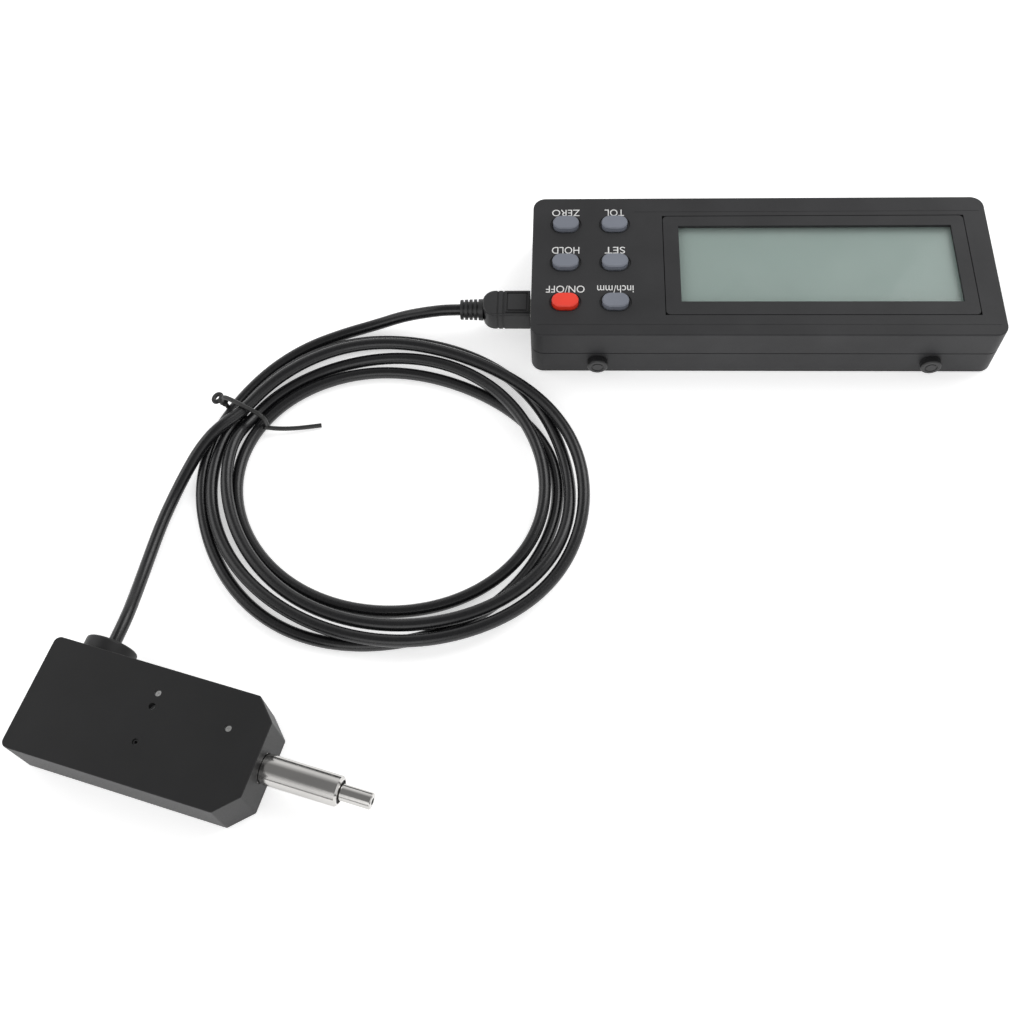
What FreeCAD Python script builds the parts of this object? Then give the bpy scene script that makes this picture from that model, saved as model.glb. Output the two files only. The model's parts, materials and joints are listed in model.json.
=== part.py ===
import FreeCAD, Part

import math
import os
import re

import Sketcher

# A split digital dial indicator: a sensor head with a sliding spindle, a display unit with six keys,
# and the cable that joins them. Millimetres. The origin is the middle of the sensor head's base face,
# +X points along the spindle and +Z is up. The display unit stands beside the head at its own angle,
# and its pieces are drawn in the display's frame: U along its length, V across it, from one corner.

Vector = FreeCAD.Vector
UP = Vector(0, 0, 1)
ALONG_X = Vector(1, 0, 0)
ALONG_Y = Vector(0, 1, 0)

SIZES = {
    # sensor head
    "head_length": 75.8,
    "head_width": 36.7,
    "head_height": 18.9,
    "head_wall": 2.2,
    "nose_chamfer": 6.7,
    "nose_wall": 6.9,
    "head_corner": 2.2,
    "nose_corner": 1.0,
    "edge_round": 0.4,
    "plate_thick": 2.0,
    "fit_gap": 0.05,
    "axis_height": 9.45,
    "stem_radius": 4.7625,
    "stem_length": 24.8,
    "stem_inner": 3.6,
    "spindle_radius": 2.6,
    "spindle_reach": 10.0,
    "spindle_rear": 12.0,
    "travel": 9.0,
    "point_bore": 1.05,
    "point_depth": 5.0,
    "bushing_length": 6.0,
    "rear_block_back": -3.5,
    "rear_block_front": 5.5,
    "carriage_length": 7.0,
    "rod_radius": 1.25,
    "rod_offset": 7.0,
    "set_screw_radius": 1.0,
    "spring_radius": 2.6,
    "spring_wire": 0.2,
    "spring_seat": 33.0,
    "pin_radius": 2.2,
    "gland_radius": 8.35,
    "gland_reach": 4.4,
    "gland_place": -24.0,
    # cable
    "cable_radius": 2.1,
    "coil_height": 10.4,
    "coil_x": 40.5,
    "coil_y": 104.4,
    "coil_half_x": 68.0,
    "coil_half_y": 60.9,
    "eye_x": 38.4,
    "eye_y": 105.6,
    "eye_half_x": 52.0,
    "eye_half_y": 44.6,
    "plug_length": 17.1,
    "plug_width": 11.2,
    "plug_thick": 8.8,
    "plug_gap": 0.6,
    "boot_radius": 3.9,
    "boot_taper": 0.3,
    "boot_length": 8.2,
    # display unit
    "display_x": 71.04,
    "display_y": 165.83,
    "display_turn": 15.625,
    "case_length": 164.0,
    "case_depth": 62.6,
    "case_height": 21.7,
    "case_wall": 2.0,
    "case_corner": 4.5,
    "case_edge": 0.5,
    "seam_depth": 0.3,
    "parting": 10.8,
    "socket_v": 19.6,
    "socket_z": 10.6,
    "board_bottom": 12.65,
    "board_thick": 1.5,
    "screen_left": 53.0,
    "screen_right": 150.8,
    "screen_low": 14.6,
    "screen_high": 49.1,
    "bezel_left": 47.5,
    "bezel_right": 155.6,
    "bezel_low": 9.0,
    "bezel_high": 53.6,
    "bezel_thick": 1.2,
    "pane_lap": 1.2,
    "pane_thick": 0.8,
    "key_length": 9.4,
    "key_width": 6.2,
    "key_rise": 1.7,
    "key_gap": 0.3,
    "key_press": 0.5,
    "key_foot_low": 18.5,
    "key_first_u": 12.1,
    "key_first_v": 14.4,
    "key_pitch": 17.75,
    "cell_radius": 5.2,
    "cell_length": 44.0,
    "cell_start": 112.5,
    "cell_gap": 0.5,
    "bay_v": 31.3,
    "door_start": 106.0,
    "door_half": 14.0,
    "door_thick": 1.6,
    "door_lip": 8.0,
    "stud_radius": 3.6,
    "stud_reach": 2.7,
    "stud_height": 6.2,
    "stud_first": 23.8,
    "stud_second": 141.0,
}

doc = FreeCAD.newDocument("DialIndicator")
sheet = doc.addObject("Spreadsheet::Sheet", "Sizes")
for row, (word, number) in enumerate(SIZES.items(), start=1):
    sheet.set(f"A{row}", word)
    sheet.set(f"B{row}", str(number))
    sheet.setAlias(f"B{row}", word)
doc.recompute()

nodes = {}
WORDS = re.compile(r"[a-z][a-z_]+")


def value(word):
    """A driving dimension, read from the sheet."""
    return float(sheet.get(word))


def bind(thing, where, text):
    """Binds a property to an expression in the sheet's words."""
    named = WORDS.sub(lambda m: "Sizes." + m.group() if m.group() in SIZES else m.group(), str(text))
    thing.setExpression(where, named)


def place(thing, point):
    for letter, text in zip("xyz", point):
        bind(thing, f"Placement.Base.{letter}", text)


def box(name, low, size):
    """A box from its low corner and its three sides."""
    thing = doc.addObject("Part::Box", name)
    for side, text in zip(("Length", "Width", "Height"), size):
        bind(thing, side, text)
    place(thing, low)
    return thing


def rod(name, start, radius, length, direction=UP):
    """A cylinder from the centre of its first end."""
    thing = doc.addObject("Part::Cylinder", name)
    thing.Placement = FreeCAD.Placement(Vector(), FreeCAD.Rotation(UP, direction))
    bind(thing, "Radius", radius)
    bind(thing, "Height", length)
    place(thing, start)
    return thing


def cone(name, start, first, second, length, direction=UP):
    thing = doc.addObject("Part::Cone", name)
    thing.Placement = FreeCAD.Placement(Vector(), FreeCAD.Rotation(UP, direction))
    bind(thing, "Radius1", first)
    bind(thing, "Radius2", second)
    bind(thing, "Height", length)
    place(thing, start)
    return thing


def fuse(name, pieces):
    thing = doc.addObject("Part::MultiFuse", name)
    thing.Shapes = pieces
    thing.Refine = True
    return thing


def cut(name, base, tools):
    tool = tools[0] if len(tools) == 1 else doc.addObject("Part::MultiFuse", name + "_tools")
    if len(tools) > 1:
        tool.Shapes = tools
    thing = doc.addObject("Part::Cut", name)
    thing.Base = base
    thing.Tool = tool
    return thing


def rounded(name, base, radius, chosen):
    """Rounds the edges of base that chosen picks."""
    doc.recompute()
    thing = doc.addObject("Part::Fillet", name)
    thing.Base = base
    edges = [i + 1 for i, edge in enumerate(base.Shape.Edges) if chosen(edge)]
    thing.Edges = [(i, radius, radius) for i in edges]
    return thing


def group(name, pieces):
    thing = doc.addObject("Part::Compound", name)
    thing.Links = pieces
    return thing


def keep(label, thing, on_display=False):
    """Names a finished sub-part and, for the display's pieces, stands it where the display is."""
    if on_display:
        if not thing.isDerivedFrom("PartDesign::Body"):
            thing = group(label, [thing])
        corner = Vector(value("display_x"), value("display_y"), 0)
        thing.Placement = FreeCAD.Placement(corner, FreeCAD.Rotation(UP, value("display_turn")))
    thing.Label = label
    nodes[label] = thing
    return thing


def new_body(name):
    return doc.addObject("PartDesign::Body", name)


def sketch_on(body, name, role="XY_Plane", lift=None):
    sketch = body.newObject("Sketcher::SketchObject", name)
    plane = next(f for f in body.Origin.OriginFeatures if f.Role == role)
    sketch.AttachmentSupport = [(plane, "")]
    sketch.MapMode = "FlatFace"
    if lift is not None:
        bind(sketch, "AttachmentOffset.Base.z", lift)
    return sketch


def outline(sketch, corners):
    """A closed outline of straight sides, each corner held by its two distances from the origin."""
    first = sketch.GeometryCount
    count = len(corners)
    turns = [2 * math.pi * i / count for i in range(count)]
    ring = [Vector(10 * math.cos(turn), 10 * math.sin(turn), 0) for turn in turns]
    for i in range(count):
        sketch.addGeometry(Part.LineSegment(ring[i], ring[(i + 1) % count]), False)
    for i in range(count):
        ends = (first + i, 2, first + (i + 1) % count, 1)
        sketch.addConstraint(Sketcher.Constraint("Coincident", *ends))
    for i, corner in enumerate(corners):
        for kind, text, start in zip(("DistanceX", "DistanceY"), corner, (ring[i].x, ring[i].y)):
            index = sketch.addConstraint(Sketcher.Constraint(kind, -1, 1, first + i, 1, start))
            bind(sketch, f"Constraints[{index}]", text)


def rectangle(sketch, low_x, low_y, high_x, high_y):
    outline(sketch, [(low_x, low_y), (high_x, low_y), (high_x, high_y), (low_x, high_y)])


def circle(sketch, x, y, radius):
    index = sketch.addGeometry(Part.Circle(Vector(), UP, 1), False)
    for kind, text in (("DistanceX", x), ("DistanceY", y)):
        held = sketch.addConstraint(Sketcher.Constraint(kind, -1, 1, index, 3, 1.0))
        bind(sketch, f"Constraints[{held}]", text)
    held = sketch.addConstraint(Sketcher.Constraint("Radius", index, 1.0))
    bind(sketch, f"Constraints[{held}]", radius)


def slot(sketch, half_span, radius):
    """An obround about the sketch's origin: two end arcs, whose centres are half_span away, and two sides."""
    left = Part.Circle(Vector(-1.6, 0, 0), UP, 3)
    right = Part.Circle(Vector(1.6, 0, 0), UP, 3)
    quarter = math.pi / 2
    sketch.addGeometry(Part.ArcOfCircle(left, quarter, 3 * quarter), False)
    sketch.addGeometry(Part.LineSegment(Vector(-1.6, -3, 0), Vector(1.6, -3, 0)), False)
    sketch.addGeometry(Part.ArcOfCircle(right, -quarter, quarter), False)
    sketch.addGeometry(Part.LineSegment(Vector(1.6, 3, 0), Vector(-1.6, 3, 0)), False)
    for i in range(4):
        sketch.addConstraint(Sketcher.Constraint("Tangent", i, 2, (i + 1) % 4, 1))
    sketch.addConstraint(Sketcher.Constraint("Horizontal", 1))
    sketch.addConstraint(Sketcher.Constraint("Equal", 0, 2))
    sketch.addConstraint(Sketcher.Constraint("PointOnObject", 0, 3, -1))
    for i, sign, where in ((0, -1, "-({})"), (2, 1, "{}")):
        held = sketch.addConstraint(Sketcher.Constraint("DistanceX", -1, 1, i, 3, 1.6 * sign))
        bind(sketch, f"Constraints[{held}]", where.format(half_span))
    held = sketch.addConstraint(Sketcher.Constraint("Radius", 0, 3.0))
    bind(sketch, f"Constraints[{held}]", radius)


def pad(body, name, sketch, length):
    feature = body.newObject("PartDesign::Pad", name)
    feature.Profile = sketch
    bind(feature, "Length", length)
    return feature


def pocket(body, name, sketch, depth, up=False):
    """Cuts down into the body from the sketch, or up into it."""
    feature = body.newObject("PartDesign::Pocket", name)
    feature.Profile = sketch
    feature.Reversed = up
    bind(feature, "Length", depth)
    return feature


def dress(body, kind, name, amount, chosen):
    """A Fillet or Chamfer of the edges of the body's last feature that chosen picks."""
    doc.recompute()
    last = body.Tip
    edges = [f"Edge{i + 1}" for i, edge in enumerate(last.Shape.Edges) if chosen(edge)]
    feature = body.newObject("PartDesign::" + kind, name)
    feature.Base = (last, edges)
    bind(feature, "Radius" if kind == "Fillet" else "Size", amount)
    return feature


def turned(name, profile):
    """A body of revolution about the spindle's axis, from its (x, radius) outline."""
    body = new_body(name)
    sketch = sketch_on(body, name + "_outline", "XZ_Plane")
    bind(sketch, "AttachmentOffset.Base.y", "axis_height")
    outline(sketch, profile)
    feature = body.newObject("PartDesign::Revolution", name + "_turn")
    feature.Profile = sketch
    feature.ReferenceAxis = (sketch, ["H_Axis"])
    feature.Angle = 360
    return body


def level(edge, height):
    """Whether an edge lies flat at that height."""
    bounds = edge.BoundBox
    return abs(bounds.ZMin - height) < 0.01 and abs(bounds.ZMax - height) < 0.01


def upright(edge):
    bounds = edge.BoundBox
    return bounds.ZLength > 1 and bounds.XLength < 0.01 and bounds.YLength < 0.01


# The sensor head

FACE_X = "head_length / 2"
REAR_X = "-head_length / 2"
STEM_END = "head_length / 2 + stem_length"
CAVITY_FRONT = "head_length / 2 - nose_wall"
CAVITY_REAR = "head_wall - head_length / 2"
CAVITY_TOP = "head_height - head_wall"
CAVITY_SIDE = "head_width / 2 - head_wall"
CARRIAGE_START = "rear_block_front + travel + 0.3"
FRONT_BLOCK = CARRIAGE_START + " + carriage_length + 1"
SET_SCREWS = {"rear": (0.9, 10.2), "front": (25.9, 6.2)}
STOP_SCREW = (1.0, -5.6)
ACCESS_HOLE = (1.0, 5.9)
POSTS = [(-33.2, 13.7), (-33.2, -13.7), (27.5, 13.7), (27.5, -13.7)]


def sensor_housing():
    """A milled block, open underneath, with a chamfered nose that holds the stem."""
    body = new_body("sensor_housing")
    sketch = sketch_on(body, "housing_outline")
    side, near = "head_width / 2", "head_width / 2 - nose_chamfer"
    nose = "head_length / 2 - nose_chamfer"
    outline(sketch, [(REAR_X, "-" + side), (nose, "-" + side), (FACE_X, f"-({near})"),
                     (FACE_X, near), (nose, side), (REAR_X, side)])
    pad(body, "housing_block", sketch, "head_height")
    rear = -value("head_length") / 2
    dress(body, "Fillet", "housing_corners", "head_corner",
          lambda edge: upright(edge) and abs(edge.BoundBox.XMin - rear) < 0.01)
    dress(body, "Fillet", "nose_corners", "nose_corner",
          lambda edge: upright(edge) and edge.BoundBox.XMin > 0)
    dress(body, "Fillet", "housing_rim", "edge_round",
          lambda edge: level(edge, value("head_height")))
    hollow = sketch_on(body, "hollow_outline")
    rectangle(hollow, CAVITY_REAR, "-(" + CAVITY_SIDE + ")", CAVITY_FRONT, CAVITY_SIDE)
    pocket(body, "hollow", hollow, CAVITY_TOP, up=True)
    ledge = sketch_on(body, "ledge_outline")
    rectangle(ledge, CAVITY_REAR + " - 1", "-(" + CAVITY_SIDE + " + 1)",
              CAVITY_FRONT + " + 1", CAVITY_SIDE + " + 1")
    pocket(body, "ledge", ledge, "plate_thick", up=True)
    top = sketch_on(body, "top_holes", lift="head_height")
    for x, y in list(SET_SCREWS.values()) + [STOP_SCREW, ACCESS_HOLE]:
        circle(top, x, y, "set_screw_radius + fit_gap")
    pocket(body, "screw_holes", top, "head_wall + 1")
    nose_sketch = sketch_on(body, "stem_hole", "YZ_Plane", CAVITY_FRONT + " - 1")
    circle(nose_sketch, 0, "axis_height", "stem_radius")
    pocket(body, "stem_bore", nose_sketch, "nose_wall + 2", up=True)
    wall = sketch_on(body, "gland_hole", "XZ_Plane", "-(" + CAVITY_SIDE + " - 1)")
    circle(wall, "gland_place", "axis_height", "gland_radius - 3.35")
    pocket(body, "gland_bore", wall, "head_wall + 2")
    posts = sketch_on(body, "posts_outline", lift="plate_thick")
    for x, y in POSTS:
        circle(posts, x, y, 2.4)
    pad(body, "posts", posts, CAVITY_TOP + " - plate_thick")
    taps = sketch_on(body, "tapped_holes", lift="plate_thick")
    for x, y in POSTS:
        circle(taps, x, y, 0.8)
    pocket(body, "taps", taps, 8, up=True)
    return keep("sensor_housing", body)


def sensor_base_plate():
    body = new_body("sensor_base_plate")
    sketch = sketch_on(body, "plate_outline")
    rectangle(sketch, CAVITY_REAR + " - 0.9", "-(" + CAVITY_SIDE + " + 0.9)",
              CAVITY_FRONT + " + 0.9", CAVITY_SIDE + " + 0.9")
    for x, y in POSTS:
        circle(sketch, x, y, 1.1)
    pad(body, "plate", sketch, "plate_thick")
    sinks = sketch_on(body, "sinks")
    for x, y in POSTS:
        circle(sinks, x, y, 2.0)
    pocket(body, "countersinks", sinks, 1.0, up=True)
    return keep("sensor_base_plate", body)


def screw(name, x, y, head_low, head_radius, head_height, shank_radius, shank_length, drive=0.7):
    """A screw driven upwards from below: a flat head with a cross recess, and its shank."""
    head = rod(name + "_head", (x, y, head_low), head_radius, head_height)
    shank = rod(name + "_shank", (x, y, head_low), shank_radius, shank_length)
    whole = fuse(name + "_whole", [head, shank])
    slots = [box(name + f"_slot{turn}", (x - a, y - b, f"{head_low} - 1"), (2 * a, 2 * b, "1 + 0.5"))
             for turn, (a, b) in enumerate(((drive, 0.15), (0.15, drive)))]
    return cut(name, whole, slots)


def base_plate_screws():
    pieces = [screw(f"plate_screw{i}", x, y, "0.1", 1.95, 0.9, 0.78, 8)
              for i, (x, y) in enumerate(POSTS)]
    return keep("base_plate_screws", group("base_plate_screws", pieces))


def stem():
    """The clamping stem: a plain tube with a relief groove at its root and a chamfered end."""
    body = turned("stem", [
        (CAVITY_FRONT, "stem_inner"), (CAVITY_FRONT, "stem_radius"),
        (FACE_X + " - 0.5", "stem_radius"), (FACE_X + " - 0.5", "stem_radius - 0.4"),
        (FACE_X + " + 1.2", "stem_radius - 0.4"), (FACE_X + " + 1.2", "stem_radius"),
        (STEM_END + " - 0.6", "stem_radius"), (STEM_END, "stem_radius - 0.6"),
        (STEM_END, "stem_inner")])
    return keep("stem", body)


def sleeve(name, start, length, outer, inner, turn=ALONG_X, y=0):
    tube = rod(name + "_outside", (start, y, "axis_height"), outer, length, turn)
    bore = rod(name + "_bore", (f"{start} - 1", y, "axis_height"), inner, f"{length} + 2", turn)
    return cut(name, tube, [bore])


def spindle_bushings():
    front = sleeve("front_bushing", STEM_END + " - bushing_length - 2", "bushing_length",
                   "stem_inner", "spindle_radius + fit_gap")
    rear = sleeve("rear_bushing", CAVITY_FRONT, "bushing_length",
                  "stem_inner", "spindle_radius + fit_gap")
    return keep("spindle_bushings", group("spindle_bushings", [front, rear]))


def wiper_ring():
    ring = sleeve("wiper_ring", STEM_END + " - 2", 1.6, "stem_inner", "spindle_radius + 0.08")
    return keep("wiper_ring", ring)


def spindle():
    """The measuring spindle, whose front end is bored for a contact point."""
    front = "head_length / 2 + stem_length + spindle_reach"
    body = turned("spindle", [
        ("-spindle_rear", 0), ("-spindle_rear", "spindle_radius"),
        (front + " - 0.3", "spindle_radius"), (front, "spindle_radius - 0.3"),
        (front, "point_bore"), (front + " - point_depth", "point_bore"),
        (front + " - point_depth - 0.6", 0)])
    return keep("spindle", body)


def spring_collar():
    ring = sleeve("spring_collar", "-spindle_rear", 1.8, "spring_radius + 0.6", "spindle_radius")
    return keep("spring_collar", ring)


def return_spring():
    """A compression spring between the rear wall and the spindle's collar."""
    wire, radius = value("spring_wire"), value("spring_radius")
    length = value("spring_seat") - value("spindle_rear") + value("head_wall")
    coils = 14
    helix = Part.makeHelix((length - 2 * wire) / coils, length - 2 * wire, radius)
    section = Part.Wire(Part.makeCircle(wire, Vector(radius, 0, 0), Vector(0, 1, 0)).Edges)
    solid = Part.Wire(helix.Edges).makePipeShell([section], True, True)
    thing = doc.addObject("Part::Feature", "return_spring")
    thing.Shape = solid
    start = Vector(value("head_wall") - value("head_length") / 2 + wire, 0, value("axis_height"))
    thing.Placement = FreeCAD.Placement(start, FreeCAD.Rotation(UP, ALONG_X))
    return keep("return_spring", thing)


def spring_pin():
    return keep("spring_pin", group("spring_pin", [
        rod("pin_rod", (CAVITY_REAR, 0, "axis_height"), "pin_radius", 14, ALONG_X)]))


def rear_guide_block():
    low = "rear_block_back"
    block = box("rear_block", (low, -8.5, 4), ("rear_block_front - rear_block_back", 22, CAVITY_TOP + " - 4"))
    tools = [rod("rear_spindle_bore", (low + " - 1", 0, "axis_height"),
                 "spindle_radius + fit_gap", 20, ALONG_X),
             rod("rear_rod_bore", (low + " - 1", "rod_offset", "axis_height"), "rod_radius", 20, ALONG_X)]
    for i, (x, y) in enumerate((SET_SCREWS["rear"], STOP_SCREW)):
        tools.append(rod(f"rear_tap{i}", (x, y, 12), "set_screw_radius", 8))
    return keep("rear_guide_block", cut("rear_guide_block", block, tools))


def front_guide_block():
    low = FRONT_BLOCK
    block = box("front_block", (low, -5.5, 4), (f"{CAVITY_FRONT} - ({low})", 16, CAVITY_TOP + " - 4"))
    x, y = SET_SCREWS["front"]
    tools = [rod("front_spindle_bore", (low + " - 1", 0, "axis_height"),
                 "spindle_radius + fit_gap", 20, ALONG_X),
             rod("front_rod_bore", (low + " - 1", "rod_offset", "axis_height"), "rod_radius", 20, ALONG_X),
             rod("front_tap", (x, y, 12), "set_screw_radius", 8)]
    return keep("front_guide_block", cut("front_guide_block", block, tools))


def guide_rod():
    """The steel rod that stops the spindle from turning."""
    rod_piece = rod("anti_turn_rod", ("rear_block_back", "rod_offset", "axis_height"), "rod_radius",
                    f"{CAVITY_FRONT} - rear_block_back", ALONG_X)
    return keep("guide_rod", rod_piece)


def bump_washer():
    """The rubber washer that the carriage meets at full reach."""
    ring = sleeve("bump_washer", FRONT_BLOCK + " - 0.9", 0.8, 3.6, "spindle_radius")
    return keep("bump_washer", ring)


def carriage():
    """Clamped on the spindle, it slides on the guide rod and carries the scale."""
    start = CARRIAGE_START
    block = box("carriage_block", (start, -9.4, 5.2), ("carriage_length", 19.4, 8.5))
    tools = [rod("carriage_bore", (start + " - 1", 0, "axis_height"), "spindle_radius", 20, ALONG_X),
             rod("carriage_slide", (start + " - 1", "rod_offset", "axis_height"),
                 "rod_radius + fit_gap", 20, ALONG_X)]
    return keep("carriage", cut("carriage", block, tools))


def scale_strip():
    strip = box("strip", (CARRIAGE_START + " - 11", -10.3, 5.6), (24, 0.9, 7.6))
    return keep("scale_strip", strip)


def sensor_board():
    """The upright reader board beside the scale, with its chips on the outer side."""
    board = box("reader_board", (-30, -12.4, 3.4), (54, 1.2, 12.6))
    chip = box("reader_chip", (-6, -14.2, 6), (8, 1.8, 6))
    small = [box(f"reader_part{i}", (-24 + 5 * i, -13.3, 5), (2.4, 0.9, 1.6)) for i in range(3)]
    return keep("sensor_board", fuse("sensor_board", [board, chip] + small))


def set_screw(name, x, y):
    """A headless screw with a hexagonal socket, sunk below the housing's top."""
    low, top = "13", "head_height - 0.5"
    body = rod(name + "_body", (x, y, low), "set_screw_radius", f"{top} - {low}")
    socket = doc.addObject("Part::Prism", name + "_socket")
    socket.Polygon = 6
    socket.Circumradius = 0.55
    socket.Height = 2
    place(socket, (x, y, f"{top} - 1"))
    return cut(name, body, [socket])


def set_screws():
    pieces = [set_screw("set_screw_" + name, x, y) for name, (x, y) in SET_SCREWS.items()]
    keep("set_screws", group("set_screws", pieces))
    keep("stop_screw", set_screw("stop_screw", *STOP_SCREW))


def cable_gland():
    """A round boss screwed into the long side: the cable comes out of its end face."""
    side = "head_width / 2"
    face = rod("gland_boss", ("gland_place", side, "axis_height"), "gland_radius", "gland_reach", ALONG_Y)
    neck = rod("gland_neck", ("gland_place", CAVITY_SIDE + " - 1.5", "axis_height"), "gland_radius - 3.35",
               "head_wall + 2", ALONG_Y)
    whole = fuse("gland_whole", [face, neck])
    far = value("head_width") / 2 + value("gland_reach")
    soft = rounded("gland_soft", whole, 0.9,
                   lambda edge: edge.BoundBox.YMin > far - 0.01 and edge.BoundBox.XLength > 10)
    bore = rod("gland_bore_tool", ("gland_place", CAVITY_SIDE + " - 3", "axis_height"),
               "cable_radius", 14, ALONG_Y)
    return keep("cable_gland", cut("cable_gland", soft, [bore]))


def cable_clamp():
    """A saddle that holds the cable's jacket inside the head, on two screws."""
    block = box("clamp_block", ("gland_place - 6", 7.5, 8), (12, 4, 4.6))
    groove = rod("clamp_groove", ("gland_place", 6, "axis_height"), "cable_radius", 8, ALONG_Y)
    holes = [rod(f"clamp_hole{i}", (f"gland_place + {x}", 9.5, 6), 0.6, 10)
             for i, x in enumerate((-4.2, 4.2))]
    keep("cable_clamp", cut("cable_clamp", block, [groove] + holes))
    screws = []
    for i, x in enumerate((-4.2, 4.2)):
        shank = rod(f"clamp_shank{i}", (f"gland_place + {x}", 9.5, 6.8), 0.6, CAVITY_TOP + " - 6.8")
        head = rod(f"clamp_head{i}", (f"gland_place + {x}", 9.5, 6.8), 1.2, 1.2)
        screws.append(fuse(f"clamp_screw{i}", [shank, head]))
    keep("clamp_screws", group("clamp_screws", screws))


def signal_wires():
    """The jacket's end inside the head, and four thin wires from it down and across to the board."""
    top = value("axis_height")
    start, low = 7.3, 3.4
    jacket = rod("inner_jacket", ("gland_place", start, "axis_height"), "cable_radius - 0.02",
                 f"{CAVITY_SIDE} - 1.5 - {start}", ALONG_Y)
    wires = []
    for i in range(4):
        x = value("gland_place") - 1.2 + 0.8 * i
        points = [Vector(x, start, top), Vector(x, 5.4, top), Vector(x, 4.2, low), Vector(x, -8.6, low),
                  Vector(x, -10.9, low + 3)]
        path = rounded_path(points, 0.8)
        wire = doc.addObject("Part::Feature", f"thin_wire{i}")
        wire.Shape = tube(path, 0.3)
        wires.append(wire)
    keep("signal_wires", group("signal_wires", [jacket] + wires))


# The cable


def rounded_path(points, radius=None):
    """A wire of straight runs joined by tangent arcs, each as large as its two runs allow."""
    edges, at, radii = [], points[0], []
    for before, point, after in zip(points, points[1:], points[2:]):
        to, away = (point - before), (after - point)
        turn = to.getAngle(away)
        size = radius or 0.45 * min(to.Length, away.Length) / math.tan(turn / 2)
        inset = size * math.tan(turn / 2)
        to.normalize()
        away.normalize()
        first, last = point - to * inset, point + away * inset
        across = (away - to).normalize()
        middle = point + across * (size / math.cos(turn / 2) - size)
        edges += [Part.LineSegment(at, first).toShape(), Part.Arc(first, middle, last).toShape()]
        at = last
        radii.append(round(size, 1))
    edges.append(Part.LineSegment(at, points[-1]).toShape())
    if radius is None:
        print("cord radii", radii)
    return Part.Wire(edges)


def tube(path, radius):
    """A round tube along a path."""
    start = path.Edges[0]
    way = start.tangentAt(start.FirstParameter)
    section = Part.Wire(Part.makeCircle(radius, start.Vertexes[0].Point, way).Edges)
    solid = path.makePipeShell([section], True, True)
    expected = math.pi * radius ** 2 * path.Length
    if abs(solid.Volume / expected - 1) > 0.01:
        raise RuntimeError(f"a tube has {solid.Volume:.0f} mm3 and not {expected:.0f}")
    return solid


def boot_end():
    """Where the cable leaves the plug's boot, and the way it leaves."""
    turn = FreeCAD.Rotation(UP, value("display_turn"))
    corner = Vector(value("display_x"), value("display_y"), 0)
    back = -(value("plug_gap") + value("plug_length") + value("boot_length"))
    here = corner + turn.multVec(Vector(back, value("socket_v"), value("socket_z")))
    return here, turn.multVec(Vector(-1, 0, 0))


def cable_lead():
    """From the gland's end face down to the surface, and along it to the coil."""
    start = Vector(value("gland_place"), value("head_width") / 2 + value("gland_reach"), value("axis_height"))
    points = [start, Vector(-24.8, 33, 8.9), Vector(-27.6, 44, 4.6), Vector(-30.6, 56, 2.25),
              Vector(-32.5, 70, 2.3), Vector(-32.2, 84, 2.25), Vector(-29.6, 97, 2.5),
              Vector(-25.6, 108, 4.2)]
    thing = doc.addObject("Part::Feature", "cable_lead")
    thing.Shape = tube(rounded_path(points), value("cable_radius"))
    return keep("cable_lead", thing)


def cable_tail():
    """From the plug's boot down to the surface, and along it to the coil."""
    start, way = boot_end()
    points = [start, start + way * 9 + Vector(0, 0, -0.6), Vector(20.5, 172.4, 6.4), Vector(10.2, 167.6, 3.0),
              Vector(0.2, 160.4, 2.25), Vector(-9.4, 150.4, 2.3), Vector(-17.0, 138.6, 2.6)]
    thing = doc.addObject("Part::Feature", "cable_tail")
    thing.Shape = tube(rounded_path(points), value("cable_radius"))
    return keep("cable_tail", thing)


def oval(name, x, y, half_x, half_y, low, height):
    """An upright solid with an elliptical plan."""
    thing = doc.addObject("Part::Ellipse", name + "_rim")
    bind(thing, "MajorRadius", half_x)
    bind(thing, "MinorRadius", half_y)
    place(thing, (x, y, low))
    face = doc.addObject("Part::Extrusion", name)
    face.Base = thing
    face.DirMode = "Custom"
    face.Dir = UP
    face.Solid = True
    bind(face, "LengthFwd", height)
    return face


def cable_coil():
    """The outer shape of the wound turns: a flat ring, wider on the right than at the tie."""
    outside = oval("coil_outside", "coil_x", "coil_y", "coil_half_x", "coil_half_y", 0, "coil_height")
    eye = oval("coil_eye", "eye_x", "eye_y", "eye_half_x", "eye_half_y", -1, "coil_height + 2")
    return keep("cable_coil", cut("cable_coil", outside, [eye]))


def cable_tie():
    """A coated wire round the bundle, with a twisted knot outside and a free end inside."""
    turn = FreeCAD.Rotation(UP, -14)
    band = box("tie_band", (-8.6, -1.0, 0), (17.6, 2.0, "coil_height + 1"))
    inner = box("tie_inner", (-7.4, -2.0, 1.0), (15.2, 4.0, "coil_height - 1.1"))
    knot = box("tie_knot", (-12.0, -1.4, 4), (4, 2.8, 3.4))
    tail = rod("tie_tail", (7.6, -1.0, 2.2), 0.8, 17.0, Vector(1, 0.66, 0))
    whole = fuse("tie_whole", [cut("tie_ring", band, [inner]), knot, tail])
    whole.Placement = FreeCAD.Placement(Vector(-18.4, 117.2, 0), turn)
    return keep("cable_tie", whole)


# The display unit: U is its length from the plug's end, V its depth and Z its height


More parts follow.
